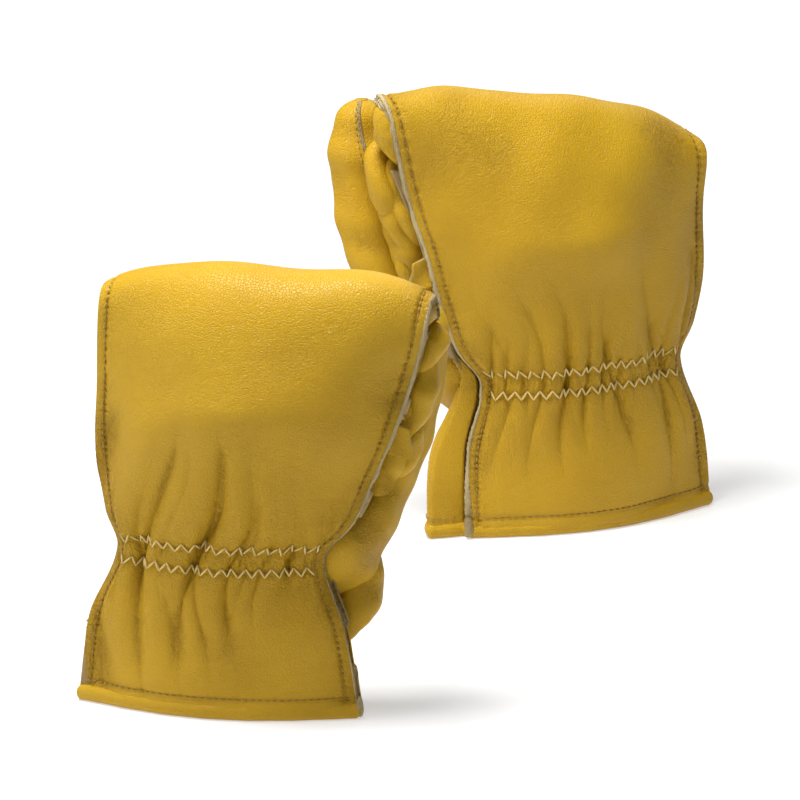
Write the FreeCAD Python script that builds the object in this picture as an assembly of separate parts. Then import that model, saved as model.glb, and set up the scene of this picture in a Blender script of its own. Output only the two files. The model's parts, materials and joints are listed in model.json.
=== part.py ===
import FreeCAD, Part
import math
import os

"""A pair of leather work gloves, standing on their cuffs with the fingers folded over behind.

Each glove is drawn in a frame of its own: x runs across the hand towards the thumb, -y faces
out of the back of the hand, +y out of the palm, and z goes up from the cuff.  The right glove
is the mirror image with its own sizes.  Millimetres throughout.
"""

Vector = FreeCAD.Vector

# Leather, thread and clearances
LEATHER = 1.4
THREAD = 0.6
CLEAR = 0.15
THREAD_CLEAR = 0.4
MOVING_CLEAR = 0.5

# Seams: the flat flange outside the stitching and the welt that sits in the index seam
FLANGE = 4.0
WELT = 1.2
WALL_POWER = 1.2

# Heights in one glove
HEM_HEIGHT = 6.2
HEM_OVERHANG = 1.0
WRIST_HEIGHT = 65.0
ZIGZAG_HEIGHT = 3.0
ZIGZAG_SPACING = 9.0
ELASTIC_HEIGHT = 13.0
ELASTIC = 0.9
FOLD_HEIGHT = 159.5
CROTCH_HEIGHT = 84.0

# The folded part
FOLD_RISE = 19.5
FOLD_LEATHER = 1.6
INDEX_DROP = 0.30
FINGER_WIDTH = 23.0
FINGER_DEPTH = 16.8
FINGER_GAP = 1.0
FINGERS_FROM = -48.5
FINGERS_BEHIND = 10.5
FOLD_DEPTH_Y = FINGERS_BEHIND + FINGER_DEPTH
FINGER_LENGTHS = {"little": 52.0, "ring": 64.0, "middle": 70.0, "index": 62.0}

# Thumb
THUMB_WIDTH = 26.0
THUMB_DEPTH = 20.0
THUMB_HEIGHTS = (54.0, 80.0, 105.0, 130.0, 150.0, 170.0)

# The loose tab of the welt
TAB_REACH = 7.0
TAB_LENGTH = 13.0
TAB_HEIGHT = 108.5

# Outline of each glove by height: (height, little-finger edge, index edge, bow of the back,
# bow of the palm, seam line).  Then the thumb's centre line, and where the glove stands.
GLOVES = {
    "left": {
        "side": 1,
        "yaw": -13.0,
        "stand": (-69.5, -130.0),
        "fold_tilt": 0.0,
        "little_drop": 0.50,
        "thumb_tip": 163.0,
        "outline": (
            (0.0, -58.5, 55.5, 14.0, 11.0, 0.0),
            (36.0, -53.5, 49.5, 13.0, 12.0, 0.0),
            (WRIST_HEIGHT, -41.5, 41.5, 12.0, 9.0, 0.0),
            (80.0, -46.5, 52.0, 15.0, 7.0, 0.0),
            (100.0, -51.0, 60.5, 18.0, 5.5, 0.0),
            (130.0, -50.5, 71.5, 19.0, 4.0, 2.0),
            (FOLD_HEIGHT, -49.0, 79.0, 9.0, 3.0, 3.5),
        ),
        "thumb_x": (43.0, 53.5, 63.0, 69.0, 69.0, 66.0),
        "thumb_y": (17.0, 20.0, 25.0, 31.0, 36.5, 39.5),
    },
    "right": {
        "side": -1,
        "yaw": 26.0,
        "stand": (77.5, 130.0),
        "fold_tilt": 0.15,
        "little_drop": 0.0,
        "thumb_tip": 178.0,
        "outline": (
            (0.0, -55.5, 55.5, 13.0, 24.0, 0.0),
            (36.0, -51.5, 56.0, 13.0, 24.0, 0.0),
            (WRIST_HEIGHT, -41.0, 50.5, 12.0, 16.0, 0.0),
            (80.0, -47.0, 61.0, 15.0, 11.0, 0.0),
            (100.0, -51.0, 67.5, 18.0, 6.5, 0.0),
            (130.0, -52.0, 75.5, 19.0, 4.0, 2.0),
            (FOLD_HEIGHT, -50.0, 87.0, 9.0, 3.0, 3.5),
        ),
        "thumb_x": (46.0, 62.0, 78.0, 84.5, 85.5, 84.5),
        "thumb_y": (22.0, 24.0, 28.0, 33.0, 37.5, 39.5),
    },
}


def smooth(heights, values, z):
    """A smooth curve through values at heights, flat beyond both ends."""
    last = len(heights) - 1
    if z <= heights[0]:
        return values[0]
    if z >= heights[last]:
        return values[last]
    i = max(k for k in range(last) if heights[k] <= z)
    step = heights[i + 1] - heights[i]

    def slope(k):
        a, b = max(k - 1, 0), min(k + 1, last)
        return (values[b] - values[a]) / (heights[b] - heights[a])

    t = (z - heights[i]) / step
    rise = t * t * (3 - 2 * t)
    start = t * (1 - t) * (1 - t) * step * slope(i)
    end = t * t * (t - 1) * step * slope(i + 1)
    return values[i] + (values[i + 1] - values[i]) * rise + start + end


def outline(glove, z):
    """Little-finger edge, index edge, bow of back, bow of palm and seam line at height z."""
    rows = glove["outline"]
    heights = [row[0] for row in rows]
    return [smooth(heights, [row[k] for row in rows], z) for k in range(1, 6)]


def wall_point(glove, face, u, z, offset):
    """A point on the back (face -1) or palm (face 1), offset outwards from its inner face.

    u runs from -1 at the little-finger edge to 1 at the index edge.
    """
    low, high, back, palm, seam = outline(glove, z)
    bow = back if face < 0 else palm
    gap = CLEAR + (WELT / 2) * (1 + u) / 2
    x = (low + high) / 2 + u * (high - low) / 2
    y = seam + face * (gap + bow * max(1 - u * u, 0) ** WALL_POWER + offset)
    return Vector(x, y, z)


def curve(points):
    spline = Part.BSplineCurve()
    spline.interpolate(points)
    return spline.toShape()


def band(outer, inner):
    """The closed wire between two curves that run the same way."""
    edges = [
        curve(outer),
        Part.makeLine(outer[-1], inner[-1]),
        curve(list(reversed(inner))),
        Part.makeLine(inner[0], outer[0]),
    ]
    return Part.Wire(edges)


def steps(start, end, count):
    return [start + (end - start) * k / (count - 1) for k in range(count)]


def wall(glove, face, u_range, z_range, offsets, levels):
    """A curved sheet that lies along the back or the palm."""
    wires = []
    for z in steps(z_range[0], z_range[1], levels):
        across = steps(u_range[0], u_range[1], 15)
        near = [wall_point(glove, face, u, z, offsets[0]) for u in across]
        far = [wall_point(glove, face, u, z, offsets[1]) for u in across]
        wires.append(band(far, near))
    return Part.makeLoft(wires, True, False)


def loop_at(glove, z, u_limit, offset):
    """A closed wire round the cuff, with its two ends at u = -u_limit and u_limit."""
    across = steps(-u_limit, u_limit, 17)
    back = [wall_point(glove, -1, u, z, offset) for u in across]
    palm = [wall_point(glove, 1, u, z, offset) for u in across]
    return band(back, palm)


def cuff_hem(glove):
    """The rolled hem: a ring round the mouth with eased edges and a flat underside."""
    ease = HEM_OVERHANG * 0.8
    profile = (
        (0.0, HEM_OVERHANG - ease),
        (1.5, HEM_OVERHANG),
        (HEM_HEIGHT - 1.5, HEM_OVERHANG),
        (HEM_HEIGHT, HEM_OVERHANG - ease),
    )
    wires = [loop_at(glove, z, 1.0, LEATHER + grow) for z, grow in profile]
    ring = Part.makeLoft(wires, True, True)
    floor = loop_at(glove, 0.0, 0.88, -HEM_OVERHANG)
    mouth = Part.Face(floor).extrude(Vector(0, 0, 2 * HEM_HEIGHT))
    mouth.translate(Vector(0, 0, -HEM_HEIGHT / 2))
    return ring.cut(mouth)


def seam_u(glove, inset):
    """How far across a seam line lies that is inset from the widest flange."""
    low, high = outline(glove, WRIST_HEIGHT)[:2]
    return 1 - 2 * inset / (high - low)


def seam_thread(glove, end):
    """The thread of one outseam, on the back's face; end is -1 or 1."""
    outer = seam_u(glove, FLANGE - THREAD)
    inner = seam_u(glove, FLANGE + THREAD)
    offsets = (LEATHER + THREAD_CLEAR, LEATHER + THREAD_CLEAR + THREAD)
    z_range = (HEM_HEIGHT + 4.0, FOLD_HEIGHT - MOVING_CLEAR - 1.0)
    return wall(glove, -1, sorted((end * inner, end * outer)), z_range, offsets, 19)


def zigzag(glove, middle):
    offsets = (LEATHER + THREAD_CLEAR, LEATHER + THREAD_CLEAR + THREAD)
    z_range = (middle - ZIGZAG_HEIGHT / 2, middle + ZIGZAG_HEIGHT / 2)
    reach = seam_u(glove, FLANGE + 2 * THREAD + CLEAR)
    return wall(glove, -1, (-reach, reach), z_range, offsets, 3)


def hem_thread(glove):
    """The running stitch above the hem, on the back and on the palm."""
    offsets = (LEATHER + 2 * THREAD_CLEAR, LEATHER + 2 * THREAD_CLEAR + THREAD)
    z_range = (HEM_HEIGHT + 1.5, HEM_HEIGHT + 1.5 + THREAD)
    rows = [wall(glove, face, (-0.97, 0.97), z_range, offsets, 2) for face in (-1, 1)]
    return Part.makeCompound(rows)


def seam_strip(glove, z_range, reach, levels):
    """A flat strip in the index seam that stands out beyond the panels by reach."""
    wires = []
    for z in steps(z_range[0], z_range[1], levels):
        low, high, _, _, seam = outline(glove, z)
        inner = high - FLANGE
        outer = high + reach
        corners = [
            Vector(inner, seam - WELT / 2, z),
            Vector(outer, seam - WELT / 2, z),
            Vector(outer, seam + WELT / 2, z),
            Vector(inner, seam + WELT / 2, z),
        ]
        wires.append(Part.makePolygon(corners + corners[:1]))
    return Part.makeLoft(wires, True, True)


def welt(glove):
    """The raw strip in the index seam above the thumb crotch, and its loose tab."""
    top = FOLD_HEIGHT - MOVING_CLEAR
    tab_to = TAB_HEIGHT + TAB_LENGTH
    below = seam_strip(glove, (CROTCH_HEIGHT, TAB_HEIGHT), WELT, 6)
    tab = seam_strip(glove, (TAB_HEIGHT, tab_to), WELT + TAB_REACH, 4)
    above = seam_strip(glove, (tab_to, top), WELT, 7)
    return below.fuse([tab, above]).removeSplitter()


def fold_front(glove, x):
    """The y of the back panel's outer face at the fold, above x."""
    low, high = outline(glove, FOLD_HEIGHT)[:2]
    u = max(-1.0, min(1.0, (2 * x - low - high) / (high - low)))
    return wall_point(glove, -1, u, FOLD_HEIGHT, LEATHER).y


def fold_arc(glove, x, inset):
    """The dome over the fold in one plane across the glove."""
    low, high = outline(glove, FOLD_HEIGHT)[:2]
    middle = (low + high) / 2
    near_edge = abs(x - middle) / ((high - low) / 2)
    side_drop = glove["little_drop"] if x < middle else INDEX_DROP
    rise = FOLD_RISE * (1 - side_drop * near_edge ** 4) - inset
    rise += glove["fold_tilt"] * (x - middle)
    web = max(0.0, x - fingers_to()) / (high - fingers_to())
    front = fold_front(glove, x) + inset
    rear = FOLD_DEPTH_Y - 11.0 * web ** 2 - inset
    points = []
    for angle in steps(0.0, math.pi, 11):
        y = (front + rear) / 2 - (rear - front) / 2 * math.cos(angle)
        z = FOLD_HEIGHT + rise * max(math.sin(angle), 0) ** 0.7
        points.append(Vector(x, y, z))
    return points


def fingers_to():
    pitch = FINGER_WIDTH + FINGER_GAP
    return FINGERS_FROM + 4 * pitch - FINGER_GAP


def fold_stations(glove, inset):
    low, high = outline(glove, FOLD_HEIGHT)[:2]
    return steps(low + 0.5 + inset, high - 0.5 - inset, 13)


def fold_back(glove):
    """The back leather over the fold."""
    wires = []
    for x in fold_stations(glove, 0.0):
        wires.append(band(fold_arc(glove, x, 0.0), fold_arc(glove, x, FOLD_LEATHER)))
    return Part.makeLoft(wires, True, False)


def fold_palm(glove):
    """The palm leather that lies crumpled inside the fold."""
    wires = []
    for x in fold_stations(glove, 2.0):
        arc = fold_arc(glove, x, FOLD_LEATHER + 2 * CLEAR)
        wires.append(Part.Wire([curve(arc), Part.makeLine(arc[-1], arc[0])]))
    return Part.makeLoft(wires, True, False)


def half_tube(stations, face, gap):
    """Half of a flattened tube: the half that faces -y or +y.

    stations are (x, y, z, half width, half depth) from one end to the other.
    """
    wires = []
    for x, y, z, wide, deep in stations:
        arc = []
        for angle in steps(0.0, math.pi, 11):
            side = face * (gap + (deep - gap) * math.sin(angle))
            arc.append(Vector(x + wide * math.cos(angle), y + side, z))
        wires.append(Part.Wire([curve(arc), Part.makeLine(arc[-1], arc[0])]))
    return Part.makeLoft(wires, True, True)


def finger_stations(order, length):
    """A finger that hangs from the fold: its top is level with the hinge."""
    x = FINGERS_FROM + FINGER_WIDTH / 2 + order * (FINGER_WIDTH + FINGER_GAP)
    y = FOLD_DEPTH_Y - 0.3 - FINGER_DEPTH / 2
    top = FOLD_HEIGHT - MOVING_CLEAR
    tip = FINGER_WIDTH * 0.55
    wide, deep = FINGER_WIDTH / 2, FINGER_DEPTH / 2
    stations = [(x, y, top, wide, deep)]
    for k in range(6):
        angle = k * math.pi / 11
        down = length - tip + tip * math.sin(angle)
        stations.append((x, y, top - down, wide * math.cos(angle), deep * math.cos(angle)))
    return stations


def thumb_stations(glove):
    """The thumb from its root at the palm to its tip beside the fold."""
    wide, deep = THUMB_WIDTH / 2, THUMB_DEPTH / 2
    base, tip = THUMB_HEIGHTS[0], glove["thumb_tip"]
    stations = []
    for k in range(13):
        z = base + (tip - base) * math.sin(k * math.pi / 25)
        x = smooth(THUMB_HEIGHTS, glove["thumb_x"], z)
        y = smooth(THUMB_HEIGHTS, glove["thumb_y"], z)
        root = min(1.0, 0.80 + 0.20 * (z - base) / (THUMB_HEIGHTS[1] - base))
        close = min(1.0, (tip - z) / THUMB_WIDTH)
        share = root * math.sqrt(1 - (1 - close) ** 2)
        stations.append((x, y, z, wide * share, deep * share))
    return stations


def thumb_thread(glove):
    """The thread of the thumb seam, on the side away from the hand."""
    wires = []
    for x, y, z, wide, _ in thumb_stations(glove)[1:-3]:
        near = x + wide + THREAD_CLEAR
        corners = [
            Vector(near, y - THREAD, z),
            Vector(near + THREAD, y - THREAD, z),
            Vector(near + THREAD, y + THREAD, z),
            Vector(near, y + THREAD, z),
        ]
        wires.append(Part.makePolygon(corners + corners[:1]))
    return Part.makeLoft(wires, True, True)


def glove_pieces(glove):
    """Every piece of one glove, in the glove's own frame."""
    panel_z = (HEM_HEIGHT + CLEAR, FOLD_HEIGHT - MOVING_CLEAR)
    elastic_z = (WRIST_HEIGHT - ELASTIC_HEIGHT / 2, WRIST_HEIGHT + ELASTIC_HEIGHT / 2)
    inside = (-CLEAR - ELASTIC, -CLEAR)
    pieces = {
        "back_panel": wall(glove, -1, (-1, 1), panel_z, (0.0, LEATHER), 21),
        "palm_panel": wall(glove, 1, (-1, 1), panel_z, (0.0, LEATHER), 21),
        "cuff_hem": cuff_hem(glove),
        "hem_stitch": hem_thread(glove),
        "wrist_elastic": wall(glove, -1, (-0.8, 0.8), elastic_z, inside, 4),
        "zigzag_upper": zigzag(glove, WRIST_HEIGHT + ZIGZAG_SPACING / 2),
        "zigzag_lower": zigzag(glove, WRIST_HEIGHT - ZIGZAG_SPACING / 2),
        "little_seam_stitch": seam_thread(glove, -1),
        "index_seam_stitch": seam_thread(glove, 1),
        "index_welt": welt(glove),
        "fold_back": fold_back(glove),
        "fold_palm": fold_palm(glove),
        "thumb_front": half_tube(thumb_stations(glove), -1, CLEAR),
        "thumb_rear": half_tube(thumb_stations(glove), 1, CLEAR),
        "thumb_stitch": thumb_thread(glove),
    }
    for order, (finger, length) in enumerate(FINGER_LENGTHS.items()):
        stations = finger_stations(order, length)
        pieces[finger + "_finger_back"] = half_tube(stations, 1, CLEAR)
        pieces[finger + "_finger_palm"] = half_tube(stations, -1, CLEAR)
    return pieces


def stand(shape, glove):
    """Mirror the right glove, then turn and move it to where it stands."""
    if glove["side"] < 0:
        shape = shape.mirror(Vector(0, 0, 0), Vector(1, 0, 0))
    placed = shape.copy()
    placed.rotate(Vector(0, 0, 0), Vector(0, 0, 1), glove["yaw"])
    placed.translate(Vector(glove["stand"][0], glove["stand"][1], 0))
    return placed


def centre_of(shapes):
    box = Part.makeCompound(shapes).BoundBox
    return Vector((box.XMin + box.XMax) / 2, (box.YMin + box.YMax) / 2, 0)


os.makedirs("parts", exist_ok=True)
PIECES = {}
for hand, glove in GLOVES.items():
    for piece, shape in glove_pieces(glove).items():
        PIECES[hand + "_" + piece] = stand(shape, glove)

MIDDLE = centre_of(list(PIECES.values()))
for node, shape in PIECES.items():
    shape.translate(-MIDDLE)
    shape.exportStep("parts/" + node + ".step")
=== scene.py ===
import json
import math

import bpy
import numpy as np
from mathutils import Matrix, Vector


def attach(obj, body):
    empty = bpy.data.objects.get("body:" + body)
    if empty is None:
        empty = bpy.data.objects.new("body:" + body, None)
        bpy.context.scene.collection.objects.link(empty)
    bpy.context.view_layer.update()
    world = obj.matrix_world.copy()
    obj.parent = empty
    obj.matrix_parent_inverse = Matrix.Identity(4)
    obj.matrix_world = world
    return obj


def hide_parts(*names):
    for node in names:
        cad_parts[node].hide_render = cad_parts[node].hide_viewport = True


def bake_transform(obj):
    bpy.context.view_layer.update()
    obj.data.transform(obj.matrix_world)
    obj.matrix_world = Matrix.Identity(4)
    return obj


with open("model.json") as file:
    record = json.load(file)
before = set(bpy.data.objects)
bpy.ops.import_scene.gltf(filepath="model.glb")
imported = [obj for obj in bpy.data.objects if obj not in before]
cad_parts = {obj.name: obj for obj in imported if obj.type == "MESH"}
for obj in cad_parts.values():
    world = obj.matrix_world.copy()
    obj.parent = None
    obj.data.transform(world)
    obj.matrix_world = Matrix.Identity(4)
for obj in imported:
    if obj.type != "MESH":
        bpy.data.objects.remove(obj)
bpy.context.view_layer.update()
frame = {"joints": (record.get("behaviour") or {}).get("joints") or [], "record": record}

# ---------------------------------------------------------------------------------------
# Back panel.  One smooth piece of golden grain leather, tanned through so that its inside
# and its cut edges are paler suede, runs from the cuff over the knuckles and down behind,
# where the fingers are sewn to it.  The elastic at the wrist gathers it.

joint = {row["name"]: row for row in frame["joints"]}
mount = {row["name"]: row for row in frame["record"]["mounts"]}


def wire(tree, target, sources):
    for socket, source in sources.items():
        tree.links.new(source, target.inputs[socket])


def node(tree, kind, sources=None, values=None, **settings):
    """A new node with its own settings, the values of its inputs and what feeds them."""
    made = tree.nodes.new(kind)
    for name, value in settings.items():
        setattr(made, name, value)
    for socket, value in (values or {}).items():
        made.inputs[socket].default_value = value
    wire(tree, made, sources or {})
    return made


def new_group(name, inputs, outputs):
    """An empty shader group, the node that holds its inputs and the one for its outputs."""
    tree = bpy.data.node_groups.new(name, "ShaderNodeTree")
    for label, value in inputs.items():
        socket = tree.interface.new_socket(label, in_out="INPUT", socket_type="NodeSocketFloat")
        socket.default_value = value
    for label in outputs:
        tree.interface.new_socket(label, in_out="OUTPUT", socket_type="NodeSocketFloat")
    return tree, tree.nodes.new("NodeGroupInput"), tree.nodes.new("NodeGroupOutput")


def new_finish(name):
    material = bpy.data.materials.new(name)
    material.use_nodes = True
    return material, material.node_tree, material.node_tree.nodes["Principled BSDF"]


def grain_group():
    """A hide: grain and wrinkles as heights, pores, and the patchy tone it is dyed in."""
    tree, given, result = new_group(
        "Hide grain", {"Cell size": 900.0, "Patch size": 22.0, "Distortion": 0.6},
        ("Height", "Tone", "Pores", "Wrinkles"),
    )
    place = node(tree, "ShaderNodeTexCoord").outputs["Object"]
    size = given.outputs["Cell size"]
    cells = node(tree, "ShaderNodeTexVoronoi", {"Vector": place, "Scale": size}, feature="DISTANCE_TO_EDGE")
    pores = node(tree, "ShaderNodeTexVoronoi", {"Vector": place, "Scale": size}, feature="F1")
    finer = node(tree, "ShaderNodeMath", {0: size}, {1: 0.32}, operation="MULTIPLY")
    lines = node(
        tree, "ShaderNodeTexNoise",
        {"Vector": place, "Scale": finer.outputs[0], "Distortion": given.outputs["Distortion"]},
        {"Detail": 4.0, "Roughness": 0.6},
    )
    patch = node(tree, "ShaderNodeTexNoise", {"Vector": place, "Scale": given.outputs["Patch size"]},
                 {"Detail": 5.0, "Roughness": 0.55})
    edge = node(tree, "ShaderNodeMapRange", {"Value": cells.outputs["Distance"]}, {"From Max": 0.14})
    grain = node(tree, "ShaderNodeMath", {0: lines.outputs["Fac"], 2: edge.outputs["Result"]},
                 {1: 1.6}, operation="MULTIPLY_ADD")
    creased = node(tree, "ShaderNodeTexNoise", {"Vector": place},
                   {"Scale": 190.0, "Detail": 6.0, "Roughness": 0.62, "Distortion": 2.0})
    middle = node(tree, "ShaderNodeMath", {0: creased.outputs["Fac"]}, {1: 0.5}, operation="SUBTRACT")
    ridged = node(tree, "ShaderNodeMath", {0: middle.outputs[0]}, operation="ABSOLUTE")
    sharp = node(tree, "ShaderNodeMath", {0: ridged.outputs[0]}, {1: 0.55}, operation="POWER")
    wire(tree, result, {
        "Height": grain.outputs[0], "Tone": patch.outputs["Fac"],
        "Pores": pores.outputs["Distance"], "Wrinkles": sharp.outputs[0],
    })
    return tree


hide_grain = grain_group()


def leather(name, deep, pale, cell, bump, rough, shade_and_wear_colour):
    """A leather finish; crease is an attribute of the mesh, 1 at the bottom of a fold. Where it is high the
    colour is mixed towards a darker colour and the wrinkles are deeper: painted shade in the folds, dips and
    gathered wrist, and wear along the side edges of the back.
    """
    material, tree, shader = new_finish(name)
    grain = node(tree, "ShaderNodeGroup", values={"Cell size": cell}, node_tree=hide_grain)
    tone = node(tree, "ShaderNodeValToRGB", {"Fac": grain.outputs["Tone"]})
    for stop, position, colour in zip(tone.color_ramp.elements, (0.32, 0.68), (deep, pale)):
        stop.position, stop.color = position, (*colour, 1)
    fold = node(tree, "ShaderNodeAttribute", attribute_name="crease").outputs["Fac"]
    less = node(tree, "ShaderNodeMath", {0: fold}, {1: 0.55}, operation="MULTIPLY")
    # Painted shade and wear: the colour is mixed towards the darker given colour by the crease attribute, so
    # fold bottoms and the gathered wrist get painted shade, and the back's side edges get wear.
    painted_shade_and_wear = node(tree, "ShaderNodeMix", {"Factor": less.outputs[0], "A": tone.outputs["Color"]},
                  {"B": (*shade_and_wear_colour, 1)}, data_type="RGBA")
    shine = node(tree, "ShaderNodeMapRange", {"Value": grain.outputs["Pores"]},
                 {"To Min": rough - 0.07, "To Max": rough + 0.10})
    worn = node(tree, "ShaderNodeMapRange", {"Value": fold},
                {"From Max": 0.5, "To Min": 0.10, "To Max": 0.85})
    broad = node(tree, "ShaderNodeBump", {
        "Strength": worn.outputs["Result"], "Height": grain.outputs["Wrinkles"],
    }, {"Distance": 0.0012})
    relief = node(tree, "ShaderNodeBump", {
        "Normal": broad.outputs["Normal"], "Height": grain.outputs["Height"],
    }, {"Strength": bump, "Distance": 0.00025})
    wire(tree, shader, {
        "Base Color": painted_shade_and_wear.outputs["Result"], "Roughness": shine.outputs["Result"],
        "Normal": relief.outputs["Normal"],
    })
    shader.inputs["Specular IOR Level"].default_value = 0.30
    return material


gold_grain = leather(
    "Golden grain leather", (0.50, 0.285, 0.004), (0.56, 0.33, 0.008), 820, 0.60, 0.47,
    (0.34, 0.175, 0.002),
)
suede = leather(
    "Suede inside", (0.50, 0.33, 0.10), (0.62, 0.44, 0.17), 2600, 0.9, 0.9, (0.3, 0.2, 0.06)
)
suede.node_tree.nodes["Principled BSDF"].inputs["Sheen Weight"].default_value = 0.3
raw_edge = leather(
    "Raw cut edge", (0.26, 0.18, 0.06), (0.70, 0.57, 0.31), 1100, 1.0, 0.92, (0.2, 0.14, 0.06)
)


# Both gloves are laid out in the hand's own millimetres: x across towards the thumb, -y out
# of the back of the hand, z up from the cuff.  The right one is mirrored.
# outline rows: height, little side, index side, bow of the back, bow of the palm, seam.
# folds rows: spacing, height, and reach above and below the elastic.

WRIST = 65.0
SHELL = 1.3
SEAM_GAP = 0.15
HEM_TOP = 3.0
GLOVES = {
    "left": {
        "side": 1,
        "outline": (
            (0.0, -58.5, 55.5, 14.0, 11.0, 0.0),
            (36.0, -53.5, 49.5, 13.5, 12.0, 0.0),
            (WRIST, -41.5, 41.5, 11.0, 9.0, 0.0),
            (80.0, -46.5, 53.0, 14.5, 7.0, 0.0),
            (100.0, -51.0, 62.0, 18.0, 5.5, 0.0),
            (130.0, -50.5, 73.5, 21.0, 4.0, 2.0),
            (165.0, -49.0, 83.5, 15.0, 3.0, 4.0),
        ),
        "drop": (10.0, 6.0),
        "web_rise": 10.0,
        "tilt": 0.0,
        "folds": ((5.5, 2.8, 15, 12), (9.5, 6.0, 34, 28), (19.0, 7.5, 54, 40)),
        "lift": 2.4,
        "seed": 4,
    },
    "right": {
        "side": -1,
        "outline": (
            (0.0, -55.5, 55.5, 13.0, 24.0, 0.0),
            (36.0, -51.5, 56.0, 13.5, 24.0, 0.0),
            (WRIST, -41.0, 50.5, 11.0, 16.0, 0.0),
            (80.0, -47.0, 61.0, 14.5, 11.0, 0.0),
            (100.0, -51.0, 68.5, 18.0, 6.5, 0.0),
            (130.0, -52.0, 77.0, 21.0, 4.0, 2.0),
            (165.0, -52.0, 91.0, 15.0, 3.0, 4.0),
        ),
        "drop": (15.0, 1.0),
        "web_rise": 20.0,
        "tilt": 0.15,
        "folds": ((5.5, 2.8, 13, 12), (10.0, 5.2, 30, 26), (21.0, 6.0, 44, 38)),
        "lift": 2.2,
        "seed": 11,
    },
}


def smooth(heights, values, z):
    """A smooth curve through values at heights, flat beyond both ends; z may be an array."""
    h, v = np.asarray(heights, float), np.asarray(values, float)
    z = np.clip(np.asarray(z, float), h[0], h[-1])
    i = np.clip(np.searchsorted(h, z, side="right") - 1, 0, len(h) - 2)
    order = np.arange(len(h))
    before, after = np.maximum(order - 1, 0), np.minimum(order + 1, len(h) - 1)
    slope = (v[after] - v[before]) / (h[after] - h[before])
    step = h[i + 1] - h[i]
    t = (z - h[i]) / step
    rise = t * t * (3 - 2 * t)
    ends = t * (1 - t) ** 2 * step * slope[i] + t * t * (t - 1) * step * slope[i + 1]
    return v[i] + (v[i + 1] - v[i]) * rise + ends


def outline(glove, z):
    rows = glove["outline"]
    heights = [row[0] for row in rows]
    return [smooth(heights, [row[k] for row in rows], z) for k in range(1, 6)]


def back_wall(glove, u, z):
    """Outer face of the back below the fold; u is -1 to 1 across."""
    low, high, bow, _, seam = outline(glove, z)
    x = (low + high) / 2 + u * (high - low) / 2
    y = seam - (SEAM_GAP + 0.3 * (1 + u) + SHELL + bow * np.maximum(1 - u * u, 0) ** 1.2)
    return np.stack(np.broadcast_arrays(x, y, z), -1)


for name, glove in GLOVES.items():
    axis = joint[name + "_fold_over"]["axis"]
    turn = math.atan2(axis[1], axis[0])
    glove["turn"] = np.array(((math.cos(turn), -math.sin(turn)), (math.sin(turn), math.cos(turn))))
    low, high, bow, _, _ = (float(value) for value in outline(glove, 0.0))
    rest = np.array((glove["side"] * (low + high) / 2, -(0.45 + bow + 0.7)))
    stand = np.array(mount[name + "_cuff_rest"]["pos_m"][:2]) * 1000
    glove["stand"] = stand - glove["turn"] @ rest


def place(glove, points):
    """From the glove's own millimetres to the frame's metres."""
    points = np.asarray(points, float)
    flat = np.stack((points[..., 0] * glove["side"], points[..., 1]), -1)
    ground = flat @ glove["turn"].T + glove["stand"]
    return np.concatenate((ground, points[..., 2:3]), -1) / 1000


def spot(glove, x, y, z):
    return tuple(float(value) for value in place(glove, np.array((x, y, z))))


def mesh_object(name, glove, points, faces, marks, materials, crease=None, caps=()):
    """A mesh from points in the glove's millimetres, wound so that its faces look out.

    caps are triangles that close it; they take the first material.
    """
    groups = [group[:, ::-1] if glove["side"] < 0 else group for group in (faces, *caps)]
    data = bpy.data.meshes.new(name)
    world = place(glove, points)
    data.vertices.add(len(world))
    data.vertices.foreach_set("co", world.astype(np.float32).ravel())
    flat = np.concatenate([group.ravel() for group in groups])
    sizes = np.concatenate([np.full(len(group), group.shape[1]) for group in groups])
    data.loops.add(len(flat))
    data.loops.foreach_set("vertex_index", flat.astype(np.int32))
    data.polygons.add(len(sizes))
    data.polygons.foreach_set("loop_start", (np.cumsum(sizes) - sizes).astype(np.int32))
    data.update(calc_edges=True)
    data.polygons.foreach_set("use_smooth", np.ones(len(sizes), bool))
    for material in materials:
        data.materials.append(material)
    marks = np.concatenate((marks, np.zeros(len(sizes) - len(faces))))
    data.polygons.foreach_set("material_index", marks.astype(np.int32))
    layer = data.attributes.new("crease", "FLOAT", "POINT")
    values = np.zeros(len(world)) if crease is None else np.clip(crease, 0, 1).ravel()
    layer.data.foreach_set("value", values.astype(np.float32))
    data.validate()
    made = bpy.data.objects.new(name, data)
    bpy.context.scene.collection.objects.link(made)
    return made


def unit(vectors):
    return vectors / np.maximum(np.linalg.norm(vectors, axis=-1, keepdims=True), 1e-9)


def normals_of(grid):
    """Unit normals of a grid of points, rows upwards and columns towards the thumb."""
    return unit(np.cross(np.gradient(grid, axis=1), np.gradient(grid, axis=0)))


def quads(rows, columns, start=0, closed=False):
    """Faces of a grid of points; closed joins its last column to its first."""
    r, c = np.meshgrid(np.arange(rows - 1), np.arange(columns - (0 if closed else 1)), indexing="ij")
    right = (c + 1) % columns
    corners = (r * columns + c, r * columns + right, (r + 1) * columns + right, (r + 1) * columns + c)
    return np.stack(corners, -1).reshape(-1, 4) + start


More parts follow.
